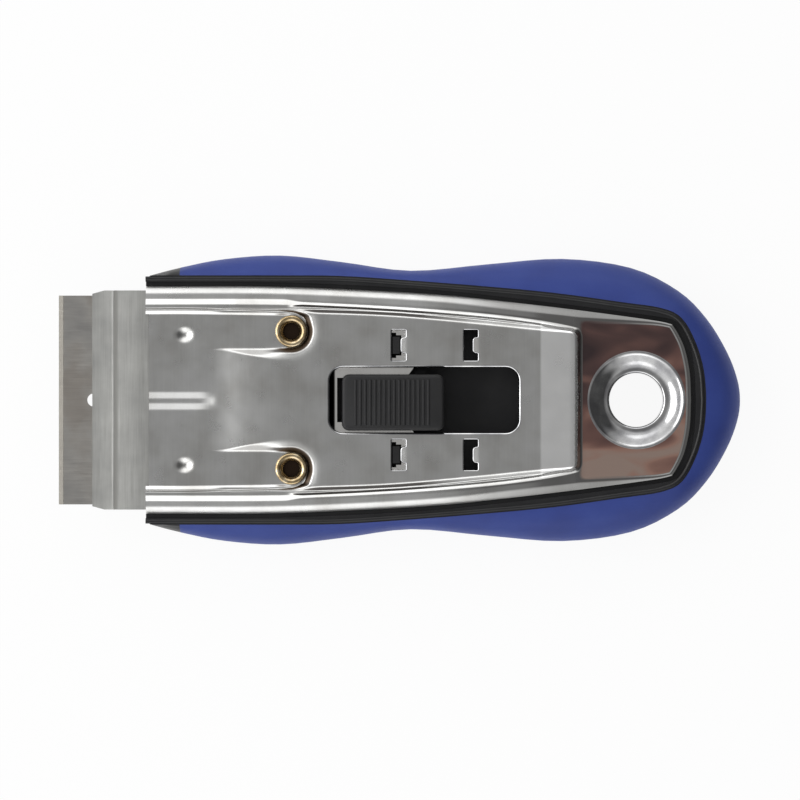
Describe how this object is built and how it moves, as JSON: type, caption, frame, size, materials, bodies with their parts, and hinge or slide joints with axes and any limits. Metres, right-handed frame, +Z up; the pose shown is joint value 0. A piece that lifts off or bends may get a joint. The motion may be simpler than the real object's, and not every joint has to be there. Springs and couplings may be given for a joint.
{
  "type": "razor blade scraper",
  "caption": "Retractable scraper for single-edge blades: steel top plate on a black body with a blue soft grip, thumb button and hanging hole",
  "frame": {"origin": "under the middle of the whole object, on the surface it lies on", "axes": "+Z up out of the steel top plate, -X the way the blade comes out, +Y across the handle"},
  "size_m": [0.1244, 0.053, 0.016],
  "materials": {
    "black_plastic": "fine moulded grain",
    "blue_rubber": "satin soft overmould",
    "plate_steel": "rolled and stamped, nickel bright",
    "sheet_steel": "matte rolled sheet",
    "blade_steel": "ground",
    "rivet_brass": "rolled tube"
  },
  "bodies": {
    "handle": {"handle_shell": "black_plastic", "soft_grip": "blue_rubber", "top_plate": "plate_steel", "upper_jaw": "sheet_steel", "lower_jaw": "sheet_steel", "rivet_left": "rivet_brass", "rivet_right": "rivet_brass"},
    "slide": {"blade_carrier": "sheet_steel", "blade_clip": "sheet_steel", "clip_rivets": "sheet_steel", "razor_blade": "blade_steel", "blade_spine": "blade_steel", "return_spring": "blade_steel"},
    "button": {"thumb_button": "black_plastic", "latch_arms": "black_plastic"}
  },
  "joints": [
    {"name": "blade_slide", "type": "slide", "parent": "handle", "child": "slide", "axis": [1, 0, 0], "range_m": [0, 0.0131], "deforming": ["latch_arms"]},
    {"name": "button_press", "type": "slide", "parent": "slide", "child": "button", "axis": [0, 0, -1], "range_m": [0, 0.001], "stiffness_N_per_m": 1000, "springref_m": -0.0005, "deforming": ["return_spring"]}
  ]
}
